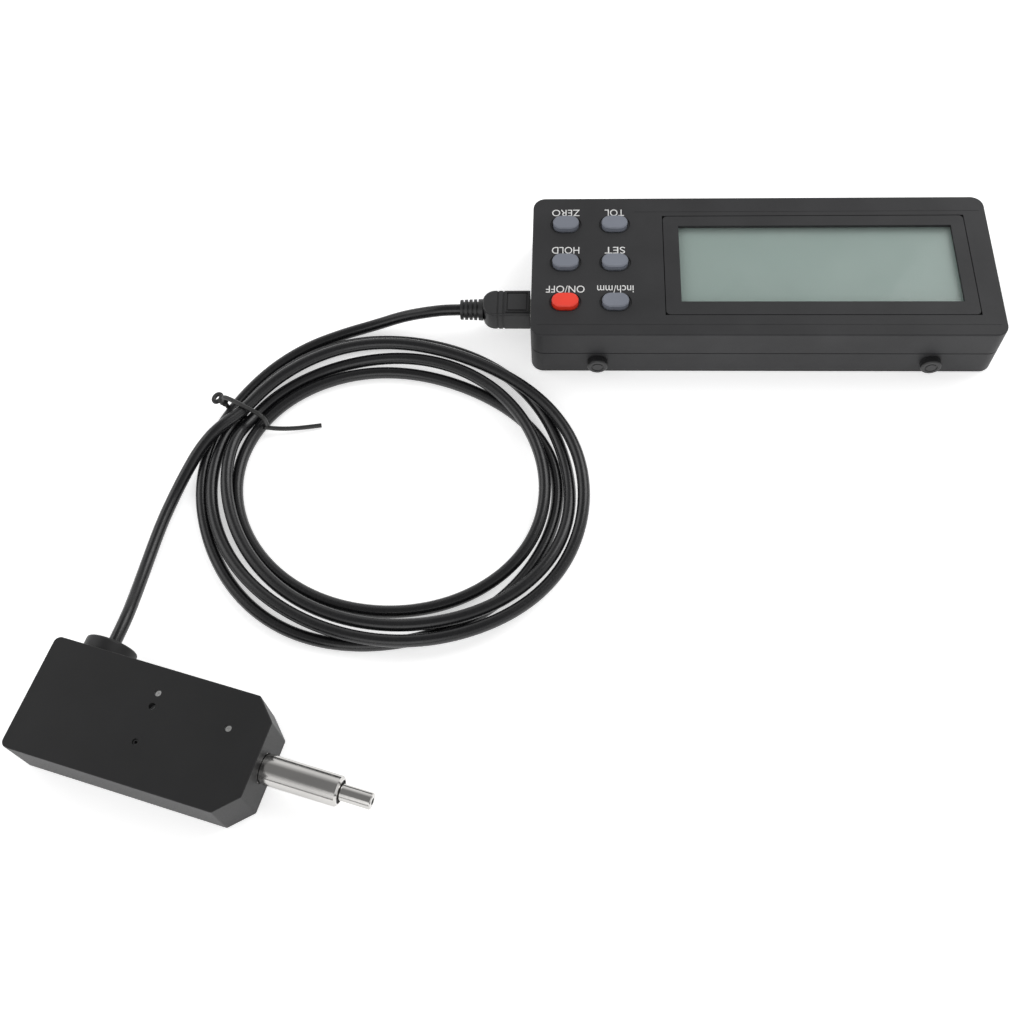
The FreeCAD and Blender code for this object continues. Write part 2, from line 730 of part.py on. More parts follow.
def plug():
    """The cable's plug: an overmoulded grip, a ribbed boot behind it and the metal shell in front."""
    v, z = "socket_v", "socket_z"
    low_v, low_z = f"{v} - plug_width / 2", f"{z} - plug_thick / 2"
    grip = box("grip", ("-plug_gap - plug_length", low_v, low_z), ("plug_length", "plug_width", "plug_thick"))
    rear = -value("plug_gap") - value("plug_length")
    soft = rounded("grip_shoulders", grip, 4.6,
                   lambda edge: upright(edge) and abs(edge.BoundBox.XMin - rear) < 0.01)
    rim = rounded("grip_rim", soft, 0.7,
                  lambda edge: edge.BoundBox.XLength > 2 and edge.BoundBox.ZLength < 0.1)
    raised = box("grip_panel", ("-plug_gap - 8.8", low_v + " + 1.1", f"{z} + plug_thick / 2 - 1"),
                 (8.4, "plug_width - 2.2", 1.4))
    grooves = []
    for i, back in enumerate((11.9, 9.9)):
        ring = box(f"grip_groove{i}", (f"-plug_gap - {back}", low_v + " - 1", low_z + " - 1"),
                   (0.6, "plug_width + 2", "plug_thick + 2"))
        core = box(f"grip_core{i}", (f"-plug_gap - {back} - 1", low_v + " + 0.4", low_z + " + 0.4"),
                   (2.6, "plug_width - 0.8", "plug_thick - 0.8"))
        grooves.append(cut(f"grip_ring{i}", ring, [core]))
    edge = box("panel_outside", ("-plug_gap - 8.4", low_v + " + 1.5", f"{z} + plug_thick / 2 - 0.1"),
               (7.6, "plug_width - 3", 1))
    middle = box("panel_inside", ("-plug_gap - 7.9", low_v + " + 2.0", f"{z} + plug_thick / 2 - 1"),
                 (6.6, "plug_width - 4", 3))
    grooves.append(cut("panel_ring", edge, [middle]))
    mouth = box("grip_mouth", ("-plug_gap - 2", f"{v} - 3.4", f"{z} - 1.55"), (3, 6.8, 3.1))
    body = cut("plug_body", fuse("grip_whole", [rim, raised]), grooves + [mouth])
    keep("plug_body", body, on_display=True)

    boot = cone("boot_core", ("-plug_gap - plug_length", v, z), "boot_radius", "boot_radius - boot_taper",
                "boot_length", Vector(-1, 0, 0))
    rings = []
    for i in range(4):
        back = 1.6 + 1.65 * i
        outside = rod(f"boot_slot{i}", (f"-plug_gap - plug_length - {back}", v, z), 5, 0.7, Vector(-1, 0, 0))
        core = rod(f"boot_slot_core{i}", (f"-plug_gap - plug_length - {back} + 1", v, z), 2.9, 3,
                   Vector(-1, 0, 0))
        rings.append(cut(f"boot_ring{i}", outside, [core]))
    keep("plug_boot", cut("plug_boot", boot, rings), on_display=True)

    shell = box("shell_outside", ("-plug_gap - 2", f"{v} - 3.4", f"{z} - 1.55"), ("plug_gap + 7.6", 6.8, 3.1))
    inside = box("shell_inside", (0, f"{v} - 3.1", f"{z} - 1.25"), (6.6, 6.2, 2.5))
    keep("plug_shell", cut("plug_shell", shell, [inside]), on_display=True)


def shell(name, low, height, edge_level):
    """Half of the case: a rounded block with its outer edge rounded."""
    block = box(name + "_block", (0, 0, low), ("case_length", "case_depth", height))
    corners = rounded(name + "_corners", block, value("case_corner"), upright)
    return rounded(name + "_edge", corners, value("case_edge"), lambda edge: level(edge, edge_level))


def well(name, inset, low, height):
    """The tool that hollows a half of the case."""
    block = box(name + "_block", (inset, inset, low),
                (f"case_length - 2 * {inset}", f"case_depth - 2 * {inset}", height))
    return rounded(name, block, value("case_corner") - value("case_wall"), upright)


CASE_POSTS = [(5.6, 5.6), (5.6, 57.0), (158.4, 5.6), (158.4, 57.0)]
KEYS = {"key_power": (0, 0), "key_unit": (1, 0), "key_hold": (0, 1), "key_set": (1, 1),
        "key_zero": (0, 2), "key_tolerance": (1, 2)}


def key_middle(column, line):
    return f"key_first_u + {column} * key_pitch", f"key_first_v + {line} * key_pitch"


def socket_mouth(name):
    return box(name, (-1, "socket_v - 4.2", "socket_z - 2.4"), ("case_wall + 2", 8.4, 4.8))


def posts(name, low, height, outer, hole, hole_low, hole_height):
    """Upright bosses at the case's four screws, and the tools that bore them."""
    bosses = [rod(f"{name}_boss{i}", (u, v, low), outer, height) for i, (u, v) in enumerate(CASE_POSTS)]
    bores = [rod(f"{name}_bore{i}", (u, v, hole_low), hole, hole_height)
             for i, (u, v) in enumerate(CASE_POSTS)]
    return bosses, bores


def display_base():
    """The lower half of the case, with the battery bay, the bosses and the door's opening."""
    block = shell("base", 0, "parting", 0)
    hollow = cut("base_shell", block, [well("base_well", "case_wall", "case_wall", "parting")])
    bosses, bores = posts("base", "case_wall - 0.5", "parting - case_wall + 0.5", 3.0, 1.3, -1, 20)
    sinks = [rod(f"base_sink{i}", (u, v, -1), 2.5, 2.6) for i, (u, v) in enumerate(CASE_POSTS)]
    ribs = [box(f"bay_rib{i}", ("cell_start - 6", v, "case_wall - 0.5"), (54, 1.2, 8))
            for i, v in enumerate(("bay_v - door_half - 1.4", "bay_v + door_half + 0.2"))]
    wall = box("bay_wall", ("cell_start - 6.2", "bay_v - door_half - 1.4", "case_wall - 0.5"),
               (1.2, "2 * door_half + 2.8", 8))
    whole = fuse("base_whole", [hollow] + bosses + ribs + [wall])
    gap = "(door_half + 0.15)"
    floor_gap = box("door_gap", ("door_start - 0.15", f"bay_v - {gap}", -1),
                    (80, f"2 * {gap}", "1 + case_wall + 0.01"))
    end_gap = box("lip_gap", ("case_length - case_wall - 0.01", f"bay_v - {gap}", -1),
                  (5, f"2 * {gap}", "1 + door_lip + 0.15"))
    studs = [rod(f"stud_hole{i}", (u, -1, "stud_height"), 1.5, 4, ALONG_Y)
             for i, u in enumerate(("stud_first", "stud_second"))]
    tools = [socket_mouth("base_mouth"), floor_gap, end_gap] + bores + sinks + studs
    return keep("display_base", cut("display_base", whole, tools), on_display=True)


def key_hole(name, column, line):
    """The obround opening of one key, a little larger than the key, with a shallow dish round it."""
    u, v = key_middle(column, line)
    tools = []
    for part, grow, low, height in (("through", "key_gap", "case_height - 4", 6),
                                    ("dish", "key_gap + 0.7", "case_height - 0.5", 2)):
        half, radius = "key_length / 2 - key_width / 2", f"key_width / 2 + {grow}"
        tools.append(box(f"{name}_{part}_middle", (f"{u} - ({half})", f"{v} - ({radius})", low),
                         (f"2 * ({half})", f"2 * ({radius})", height)))
        tools.append(rod(f"{name}_{part}_left", (f"{u} - ({half})", v, low), radius, height))
        tools.append(rod(f"{name}_{part}_right", (f"{u} + {half}", v, low), radius, height))
    return tools


def seam():
    """The tool that cuts a shallow groove round the case where its halves meet."""
    depth = value("seam_depth")
    band = box("seam_band", (-1, -1, "parting"), ("case_length + 2", "case_depth + 2", 0.35))
    core = box("seam_core", ("seam_depth", "seam_depth", "parting - 1"),
               ("case_length - 2 * seam_depth", "case_depth - 2 * seam_depth", 3))
    return cut("seam", band, [rounded("seam_inside", core, value("case_corner") - depth, upright)])


def display_cover():
    """The upper half of the case, with the screen's stepped opening and the six key holes."""
    block = shell("cover", "parting", "case_height - parting", value("case_height"))
    hollow = cut("cover_shell", block,
                 [well("cover_well", "case_wall", "parting - 1", "case_height - case_wall - parting + 1")])
    bosses, bores = posts("cover", "parting", "case_height - case_wall - parting + 0.5",
                          3.0, 1.0, "parting - 1", 7)
    whole = fuse("cover_whole", [hollow] + bosses)
    rim = box("bezel_seat", ("bezel_left - 0.3", "bezel_low - 0.3", "case_height - bezel_thick"),
              ("bezel_right - bezel_left + 0.6", "bezel_high - bezel_low + 0.6", 5))
    pane = box("pane_seat",
               ("screen_left - pane_lap - 0.1", "screen_low - pane_lap - 0.1", "case_height - 5"),
               ("screen_right - screen_left + 2 * pane_lap + 0.2",
                "screen_high - screen_low + 2 * pane_lap + 0.2", 5))
    lines = [box(f"case_line{i}", (u, v, "case_height - 0.06"), (f"case_length - 2.4 - {u}", 0.3, 1))
             for i, (u, v) in enumerate(((2.4, 4.4), (37, 55.6)))]
    tools = [rim, pane, socket_mouth("cover_mouth"), seam()] + lines + bores
    for name, (column, line) in KEYS.items():
        tools += key_hole(name + "_hole", column, line)
    return keep("display_cover", cut("display_cover", whole, tools), on_display=True)


def bezel():
    """The flat frame round the screen, with its inner edge chamfered towards the pane."""
    body = new_body("screen_bezel")
    sketch = sketch_on(body, "bezel_outline", lift="case_height - bezel_thick")
    rectangle(sketch, "bezel_left", "bezel_low", "bezel_right", "bezel_high")
    rectangle(sketch, "screen_left", "screen_low", "screen_right", "screen_high")
    pad(body, "bezel_frame", sketch, "bezel_thick")
    corners = {value("bezel_left"), value("bezel_right")}
    dress(body, "Fillet", "bezel_corners", 1.6,
          lambda edge: upright(edge) and any(abs(edge.BoundBox.XMin - u) < 0.01 for u in corners))
    return keep("screen_bezel", body, on_display=True)


def screen():
    """The clear pane under the bezel, and the LCD with its holder and contact strips below it."""
    lap = "screen_left - pane_lap"
    pane = box("pane", (lap, "screen_low - pane_lap", "case_height - bezel_thick - pane_thick"),
               ("screen_right - screen_left + 2 * pane_lap",
                "screen_high - screen_low + 2 * pane_lap", "pane_thick"))
    keep("screen_pane", pane, on_display=True)
    low = "board_bottom + board_thick"
    holder = box("holder_block", ("screen_left - 3.4", "screen_low - 5", low),
                 ("screen_right - screen_left + 6.8", "screen_high - screen_low + 10", f"19.4 - ({low})"))
    middle = box("holder_middle", ("screen_left - 2", "screen_low - 3.4", "13"),
                 ("screen_right - screen_left + 4", "screen_high - screen_low + 6.8", 8))
    keep("lcd_holder", cut("lcd_holder", holder, [middle]), on_display=True)
    panel = box("panel", ("screen_left - 1.9", "screen_low - 3.3", 16.6),
                ("screen_right - screen_left + 3.8", "screen_high - screen_low + 6.6", 2.6))
    keep("lcd_panel", panel, on_display=True)
    strips = [box(f"strip{i}", ("screen_left + 4", v, low), (89, 1.8, f"16.6 - ({low})"))
              for i, v in enumerate(("screen_low - 2.8", "screen_high + 1.0"))]
    keep("contact_strips", group("contact_strips", strips), on_display=True)


def key(name, column, line):
    """An obround key cap, chamfered round its top, with a wider foot that stays under the cover."""
    body = new_body(name)
    u, v = key_middle(column, line)
    for part, grow, low, height in (("foot", 1.0, "key_foot_low", "1.0"),
                                    ("cap", 0, "19", "case_height + key_rise - 19")):
        sketch = sketch_on(body, f"{name}_{part}_outline", lift=low)
        bind(sketch, "AttachmentOffset.Base.x", u)
        bind(sketch, "AttachmentOffset.Base.y", v)
        slot(sketch, "key_length / 2 - key_width / 2", f"key_width / 2 + {grow}")
        pad(body, f"{name}_{part}", sketch, height)
    top = value("case_height") + value("key_rise")
    dress(body, "Chamfer", name + "_chamfer", 0.4, lambda edge: level(edge, top))
    return keep(name, body, on_display=True)


def main_board():
    """The circuit board under the keys and the screen, clear of the case's bosses."""
    board = box("board", (3, 11.5, "board_bottom"), (157, 39.6, "board_thick"))
    wings = [box(f"board_wing{i}", (12, v, "board_bottom"), (140, 8, "board_thick"))
             for i, v in enumerate((4.5, 50.0))]
    chip = box("board_chip", (60, 26, "board_bottom - 2"), (14, 14, 2.1))
    small = [box(f"board_part{i}", (20 + 9 * i, 44, "board_bottom - 1.1"), (3.2, 1.8, 1.2)) for i in range(6)]
    keep("main_board", fuse("main_board", [board] + wings + [chip] + small), on_display=True)
    switches = []
    for name, (column, line) in KEYS.items():
        u, v = key_middle(column, line)
        case = box(name + "_switch_case", (f"{u} - 3", f"{v} - 3", "board_bottom + board_thick"), (6, 6, 2.6))
        low = "board_bottom + board_thick + 2"
        top = rod(name + "_plunger", (u, v, low), 1.5, f"key_foot_low - key_press - 0.2 - ({low})")
        switches.append(fuse(name + "_switch", [case, top]))
    keep("tact_switches", group("tact_switches", switches), on_display=True)


def usb_socket():
    """The metal socket on the board's underside, behind the opening in the case's end."""
    case = box("socket_case", (1.0, "socket_v - 3.9", "socket_z - 2.05"), (9, 7.8, 4.1))
    inside = box("socket_inside", (0, "socket_v - 3.5", "socket_z - 1.65"), (8.6, 7, 3.3))
    tongue = box("socket_tongue", (2.4, "socket_v - 2.6", "socket_z - 0.5"), (6.8, 5.2, 1.0))
    metal = cut("socket_metal", case, [inside])
    return keep("usb_socket", fuse("usb_socket", [metal, tongue]), on_display=True)


def batteries():
    """Two cells side by side, their end plates and their springs."""
    cells, springs, plates = [], [], []
    for i, sign in enumerate((-1, 1)):
        v = f"bay_v + ({sign}) * (cell_radius + cell_gap / 2)"
        z = "case_wall + cell_radius + 0.1"
        can = rod(f"cell_can{i}", ("cell_start", v, z), "cell_radius", "cell_length - 0.8", ALONG_X)
        tip = rod(f"cell_tip{i}", ("cell_start + cell_length - 1", v, z), 1.9, 1.0, ALONG_X)
        cells.append(fuse(f"cell{i}", [can, tip]))
        springs.append(cone(f"cell_spring{i}", ("cell_start - 4.2", v, z), 4.0, 2.4, 4.2, ALONG_X))
        low = (f"{v} - 4.6", "case_wall + 0.8")
        plates.append(box(f"spring_plate{i}", ("cell_start - 4.7", *low), (0.5, 9.2, 8.6)))
        plates.append(box(f"tip_plate{i}", ("cell_start + cell_length", *low), (0.5, 9.2, 8.6)))
    keep("battery_cells", group("battery_cells", cells), on_display=True)
    keep("battery_springs", group("battery_springs", springs), on_display=True)
    keep("battery_terminals", group("battery_terminals", plates), on_display=True)


def battery_door():
    """The sliding door under the cells, whose lip closes the case's end."""
    plate = box("door_plate", ("door_start", "bay_v - door_half", 0),
                ("case_length - door_start", "2 * door_half", "door_thick"))
    lip = box("door_lip_block", ("case_length - case_wall", "bay_v - door_half", 0),
              ("case_wall", "2 * door_half", "door_lip"))
    grooves = [box(f"door_groove{i}", (f"door_start + 6 + {2.2 * i}", "bay_v - 6", -1), (1, 12, 1.4))
               for i in range(5)]
    door = cut("battery_door", fuse("door_whole", [plate, lip]), grooves)
    return keep("battery_door", door, on_display=True)


def case_screws():
    pieces = [screw(f"case_screw{i}", u, v, "0.2", 2.4, 1.3, 0.98, 15, 1.4)
              for i, (u, v) in enumerate(CASE_POSTS)]
    return keep("case_screws", group("case_screws", pieces), on_display=True)


def bracket_studs():
    """Two round studs on the long side, each with a ring groove in its end."""
    pieces = []
    for i, u in enumerate(("stud_first", "stud_second")):
        head = rod(f"stud_head{i}", (u, "-stud_reach", "stud_height"), "stud_radius", "stud_reach", ALONG_Y)
        soft = rounded(f"stud_soft{i}", head, 0.6, lambda edge: edge.BoundBox.YMax < -1.5)
        ring = sleeve_along_v(f"stud_ring{i}", u, "-stud_reach - 1", 1.25, 2.2, 1.8)
        shank = rod(f"stud_shank{i}", (u, -0.5, "stud_height"), 1.5, 4, ALONG_Y)
        foot = rod(f"stud_foot{i}", (u, "case_wall", "stud_height"), 2.4, 1.0, ALONG_Y)
        pieces.append(cut(f"stud{i}", fuse(f"stud_whole{i}", [soft, shank, foot]), [ring]))
    return keep("bracket_studs", group("bracket_studs", pieces), on_display=True)


def sleeve_along_v(name, u, start, length, outer, inner):
    tube_piece = rod(name + "_out", (u, start, "stud_height"), outer, length, ALONG_Y)
    core = rod(name + "_in", (u, f"{start} - 1", "stud_height"), inner, f"{length} + 2", ALONG_Y)
    return cut(name, tube_piece, [core])


for make in (sensor_housing, sensor_base_plate, base_plate_screws, stem, spindle_bushings, wiper_ring,
             spindle, spring_collar, return_spring, spring_pin, rear_guide_block, front_guide_block,
             guide_rod, bump_washer, carriage, scale_strip, sensor_board, set_screws, cable_gland,
             cable_clamp, signal_wires, cable_lead, cable_coil, cable_tail, cable_tie, plug,
             display_base, display_cover, bezel, screen, main_board, usb_socket, batteries,
             battery_door, case_screws, bracket_studs):
    make()
for key_name, (key_column, key_line) in KEYS.items():
    key(key_name, key_column, key_line)

doc.recompute()
failed = [thing.Name for thing in doc.Objects if {"Invalid", "Error"} & set(thing.State)]
failed += [label for label, thing in nodes.items() if thing.Shape.isNull() or not thing.Shape.isValid()]
if failed:
    raise RuntimeError(f"these failed: {failed}")
os.makedirs("parts", exist_ok=True)
for label, thing in nodes.items():
    thing.Shape.exportStep(f"parts/{label}.step")
    print(f"{label:22s} {len(thing.Shape.Solids):3d} solids {thing.Shape.Volume:10.1f} mm3")
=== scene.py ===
import json
import math
from statistics import mean

import bpy
from mathutils import Matrix, Vector


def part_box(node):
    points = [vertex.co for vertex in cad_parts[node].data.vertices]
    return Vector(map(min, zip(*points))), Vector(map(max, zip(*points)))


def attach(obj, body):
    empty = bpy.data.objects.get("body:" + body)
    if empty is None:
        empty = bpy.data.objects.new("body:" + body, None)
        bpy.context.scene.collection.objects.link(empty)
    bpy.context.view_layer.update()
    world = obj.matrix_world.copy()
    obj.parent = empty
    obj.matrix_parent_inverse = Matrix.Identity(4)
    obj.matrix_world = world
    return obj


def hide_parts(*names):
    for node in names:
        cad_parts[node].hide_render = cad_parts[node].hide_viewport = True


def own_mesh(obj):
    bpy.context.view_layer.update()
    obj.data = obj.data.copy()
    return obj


# The looks of a split digital dial indicator: its sensor head, its display unit and the coiled cable.
# Metres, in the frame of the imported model.

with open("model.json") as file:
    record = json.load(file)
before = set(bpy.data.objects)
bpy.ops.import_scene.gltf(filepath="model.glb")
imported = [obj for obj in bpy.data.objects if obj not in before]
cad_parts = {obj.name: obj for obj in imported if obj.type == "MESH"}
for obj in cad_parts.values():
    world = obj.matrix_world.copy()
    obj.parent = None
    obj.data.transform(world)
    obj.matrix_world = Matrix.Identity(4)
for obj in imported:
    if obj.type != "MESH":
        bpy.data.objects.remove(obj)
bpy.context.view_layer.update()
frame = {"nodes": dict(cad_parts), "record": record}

MM = 0.001
CABLE_RADIUS = 2.1
DISPLAY_CORNER = Vector((71.04, 165.83, 0))
DISPLAY_TURN = Matrix.Rotation(math.radians(15.625), 3, "Z")
CASE_TOP = 21.7


# ---------------------------------------------------------------- camera

CAMERA_PLACE = Vector((0.15113, -0.06808, 0.35465))
CAMERA_SIDE = Vector((0.9303, 0.3667, 0))
CAMERA_PITCH, CAMERA_ROLL = 1.07952, -0.0828
LENS_LENGTH, SENSOR_WIDTH = 41.503, 36


def add_camera():
    """The camera, which looks down on the object from its near side and is rolled a little."""
    flat = math.cos(CAMERA_PITCH)
    right = CAMERA_SIDE.normalized()
    ahead = Vector((-CAMERA_SIDE.y * flat, CAMERA_SIDE.x * flat, -math.sin(CAMERA_PITCH))).normalized()
    up = right.cross(ahead)
    across = math.cos(CAMERA_ROLL) * right + math.sin(CAMERA_ROLL) * up
    upward = -math.sin(CAMERA_ROLL) * right + math.cos(CAMERA_ROLL) * up
    lens = bpy.data.cameras.new("camera")
    lens.sensor_width = SENSOR_WIDTH
    lens.lens = LENS_LENGTH
    lens.clip_start, lens.clip_end = 0.01, 20
    camera = bpy.data.objects.new("camera", lens)
    bpy.context.collection.objects.link(camera)
    turn = Matrix((across, upward, -ahead)).transposed().to_4x4()
    camera.matrix_world = Matrix.Translation(CAMERA_PLACE) @ turn
    bpy.context.scene.camera = camera


add_camera()


# ---------------------------------------------------------------- cable

EYE = Vector((38.4, 105.6, 0))
EYE_HALF_X, EYE_HALF_Y = 54.0, 46.6
TIE_ANGLE = math.radians(166.9)
STATIONS = 32
# How far each turn lies outside the eye, every eighth of a turn, clockwise from the tie.
TURNS = (
    (6.4, 8.8, 8.2, 12.4, 14.2, 12.7, 10.2, 8.6),
    (8.8, 13.8, 12.6, 8.4, 9.6, 7.2, 5.2, 2.6),
    (4.4, 4.4, 3.8, 0.6, 0.2, 0.0, 0.7, 0.2),
    (0.0, 0.0, 0.2, 4.4, 4.6, 9.4, 15.0, 12.4),
)
COIL_END = 13.0
# How far apart two turns lie, against the cable's own thickness.
LAY = 1.04
# The straight stretches, from the gland to the coil and from the coil towards the plug.
LEAD = ((-24.0, 20.5, 9.45), (-24.0, 25.5, 9.45), (-24.6, 34.0, 8.6), (-27.4, 44.0, 4.8),
        (-30.0, 56.0, 2.35), (-31.7, 70.0, 2.15), (-32.0, 82.0, 2.3), (-30.9, 91.0, 4.2),
        (-28.9, 99.0, 6.9), (-25.6, 107.0, 8.8))
TAIL_END = ((-23.6, 130.4, 2.2), (-18.6, 141.4, 2.2), (-10.8, 152.2, 2.2), (-0.2, 161.2, 2.4),
            (10.2, 167.8, 3.2), (20.5, 172.6, 6.4))
# The end of the plug's boot, on the display unit, and how far the cable runs straight before and inside it.
BOOT_END = (-25.9, 19.6, 10.6)
BOOT_APPROACH, BOOT_SAG, BOOT_NEAR, BOOT_INSIDE = 9, 0.6, 3, 4


def on_display(u, v, z):
    """A point of the display unit, from its own length, depth and height."""
    return DISPLAY_CORNER + DISPLAY_TURN @ Vector((u, v, z))


def smooth(values, at):
    """The value at a place between evenly spaced values, with no corners."""
    i = min(int(at), len(values) - 2)
    t = at - i
    a, b = values[i], values[i + 1]
    before = values[max(i - 1, 0)]
    after = values[min(i + 2, len(values) - 1)]
    rise, fall = (b - before) / 2, (after - a) / 2
    return (a * (2 * t ** 3 - 3 * t ** 2 + 1) + rise * (t ** 3 - 2 * t ** 2 + t)
            + b * (3 * t ** 2 - 2 * t ** 3) + fall * (t ** 3 - t ** 2))


def eased(run):
    """The heights of one turn, with each rise begun early and its corners softened."""
    for step in (max, max, max, mean, mean):
        run = [step(run[max(i - 1, 0):i + 2]) for i in range(len(run))]
    return run


def coil_heights(apart):
    """The height of each station: the last turn lies on the floor, and each one before it on those."""
    near = 2 * CABLE_RADIUS * LAY
    heights = [CABLE_RADIUS] * len(apart)
    for turn in reversed(range(len(TURNS))):
        first = turn * STATIONS
        run = []
        for i in range(first, first + STATIONS):
            height = CABLE_RADIUS
            for j in range(i + STATIONS, len(apart), STATIONS):
                gap = abs(apart[i] - apart[j])
                if gap < near:
                    height = max(height, heights[j] + math.sqrt(near ** 2 - gap ** 2))
            run.append(height)
        heights[first:first + STATIONS] = eased(run)
    return heights


def coil_points():
    """The wound turns, each lying on the floor or on the turns laid before it."""
    offsets = [x for turn in TURNS for x in turn] + [COIL_END]
    count = STATIONS * len(TURNS) + 1
    apart = [smooth(offsets, i * len(TURNS[0]) / STATIONS) for i in range(count)]
    heights = coil_heights(apart)
    points = []
    for i in range(count):
        angle = TIE_ANGLE - 2 * math.pi * i / STATIONS
        rim = Vector((EYE_HALF_X * math.cos(angle), EYE_HALF_Y * math.sin(angle), 0))
        out = Vector((math.cos(angle) / EYE_HALF_X, math.sin(angle) / EYE_HALF_Y, 0)).normalized()
        points.append(EYE + rim + out * apart[i] + Vector((0, 0, heights[i])))
    return points


def add_wire(name, points, radius, closed=False):
    """A round wire on one smooth line."""
    curve = bpy.data.curves.new(name, "CURVE")
    curve.dimensions = "3D"
    curve.bevel_depth = 1.0
    curve.bevel_resolution = 6
    curve.resolution_u = 6
    curve.use_fill_caps = True
    line = curve.splines.new("NURBS")
    line.points.add(len(points) - 1)
    for place, point in zip(line.points, points):
        place.co = (*(Vector(point) * MM), 1)
        place.radius = radius * MM
    line.order_u = 3
    line.use_cyclic_u = closed
    line.use_endpoint_u = not closed
    wire = bpy.data.objects.new(name, curve)
    bpy.context.collection.objects.link(wire)
    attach(wire, "sensor")
    return wire


def cable_points(turns):
    """The cable's whole line, from inside the gland to inside the plug's boot."""
    boot = on_display(*BOOT_END)
    back = DISPLAY_TURN @ Vector((-1, 0, 0))
    ending = [boot + back * BOOT_APPROACH + Vector((0, 0, -BOOT_SAG)), boot + back * BOOT_NEAR,
              boot - back * BOOT_INSIDE]
    return [Vector(p) for p in LEAD] + turns + [Vector(p) for p in TAIL_END] + ending


TIE_WIRE = 0.8
# How far the tie stands off the cable, against its own radius, and how softly it turns its corners.
TIE_STAND = 0.8
TIE_CORNER = 2.0
TWIST_RADIUS, TWIST_START, TWIST_LENGTH, TWIST_STEPS = 0.8, 0.4, 2.2, 8
# The loop beyond the twist, and the free end on the bundle's other side: outwards, along the bundle and up.
TIE_BOW = ((2.6, -1.9, 0.3), (3.9, -1.5, 0.6), (4.3, 0, 0.7), (3.9, 1.5, 0.6), (2.6, 1.9, 0.3))
TIE_FREE_END = ((-0.6, -0.8, 3.0), (2.5, 0.6, 2.4), (8, 4.4, 1.5), (13, 8.6, 0.9), (15.5, 10.6, 0.85))


def add_tie(turns):
    """A coated wire round the bundle, twisted outside it into a small loop, with its free end inside."""
    crossed = turns[::STATIONS]
    middle = sum(crossed, Vector()) / len(crossed)
    turn = Matrix.Rotation(TIE_ANGLE - math.pi, 3, "Z")
    spans = [turn.transposed() @ (point - middle) for point in crossed]
    reach = CABLE_RADIUS + TIE_WIRE * TIE_STAND
    left, right = min(p.x for p in spans) - reach, max(p.x for p in spans) + reach
    top = max(p.z for p in crossed) + reach
    low, soft = TIE_WIRE, TIE_CORNER

    def spot(x, y, z):
        return Vector((middle.x, middle.y, z)) + turn @ Vector((x, y, 0))

    ring = [(left, low + soft), (left, top - soft), (left + soft, top), (right - soft, top),
            (right, top - soft), (right, low + soft), (right - soft, low), (left + soft, low)]
    loop = add_wire("tie_ring", [spot(x, 0, z) for x, z in ring], TIE_WIRE, closed=True)
    high = top * 0.5
    strands = []
    for phase in (0, math.pi):
        strand = []
        for k in range(TWIST_STEPS + 1):
            angle = 2 * math.pi * k / TWIST_STEPS + phase
            out = left + TWIST_START - TWIST_LENGTH * k / TWIST_STEPS
            strand.append(spot(out, TWIST_RADIUS * math.cos(angle), high + TWIST_RADIUS * math.sin(angle)))
        strands.append(strand)
    bow = [spot(left - x, y, high + z) for x, y, z in TIE_BOW]
    knot = add_wire("tie_knot", strands[0] + bow + strands[1][::-1], TIE_WIRE)
    end = add_wire("tie_end", [spot(right + x, y, z) for x, y, z in TIE_FREE_END], TIE_WIRE)
    return [loop, knot, end]


TURN_POINTS = coil_points()
cable = add_wire("cable", cable_points(TURN_POINTS), CABLE_RADIUS)
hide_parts("cable_lead", "cable_coil", "cable_tail")
TIE = add_tie(TURN_POINTS)
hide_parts("cable_tie")


# ---------------------------------------------------------------- return spring

SPRING_WIRE = 0.2 * MM
SPRING_COILS = 14
COIL_STEPS = 24
WIRE_SIDES = 8


def add_return_spring():
    """The helix behind the spindle's collar, built once at the return spring's size and fixed to the sensor
    head, though the real spring shortens as the spindle slides in.
    """
    low, high = (Vector(corner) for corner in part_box("return_spring"))
    middle = (low + high) / 2
    radius = (high.z - low.z) / 2 - SPRING_WIRE
    steps = SPRING_COILS * COIL_STEPS
    advance = (high.x - low.x - 2 * SPRING_WIRE) / steps
    corners, faces = [], []
    for i in range(steps + 1):
        angle = 2 * math.pi * i / COIL_STEPS
        out = Vector((0, math.cos(angle), math.sin(angle)))
        centre = Vector((low.x + SPRING_WIRE + advance * i, middle.y, middle.z)) + out * radius
        for k in range(WIRE_SIDES):
            side = 2 * math.pi * k / WIRE_SIDES
            corners.append(centre + SPRING_WIRE * (math.cos(side) * out + Vector((math.sin(side), 0, 0))))
    for i in range(steps):
        for k in range(WIRE_SIDES):
            a, b = i * WIRE_SIDES + k, i * WIRE_SIDES + (k + 1) % WIRE_SIDES
            faces.append((a, a + WIRE_SIDES, b + WIRE_SIDES, b))
    last = steps * WIRE_SIDES
    faces += [tuple(range(WIRE_SIDES)), tuple(range(last, last + WIRE_SIDES))[::-1]]
    mesh = bpy.data.meshes.new("spring_coil")
    mesh.from_pydata(corners, [], faces)
    spring = bpy.data.objects.new("spring_coil", mesh)
    bpy.context.collection.objects.link(spring)
    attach(spring, "sensor")
    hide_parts("return_spring")
    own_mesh(spring)
    return spring


spring = add_return_spring()


# ---------------------------------------------------------------- floor and light

def material(name):
    """A new node material, with its tree, its shader and its object coordinates."""
    made = bpy.data.materials.new(name)
    made.use_nodes = True
    tree = made.node_tree
    shader = next(n for n in tree.nodes if n.type == "BSDF_PRINCIPLED")
    places = tree.nodes.new("ShaderNodeTexCoord")
    return made, tree, shader, places.outputs["Object"]


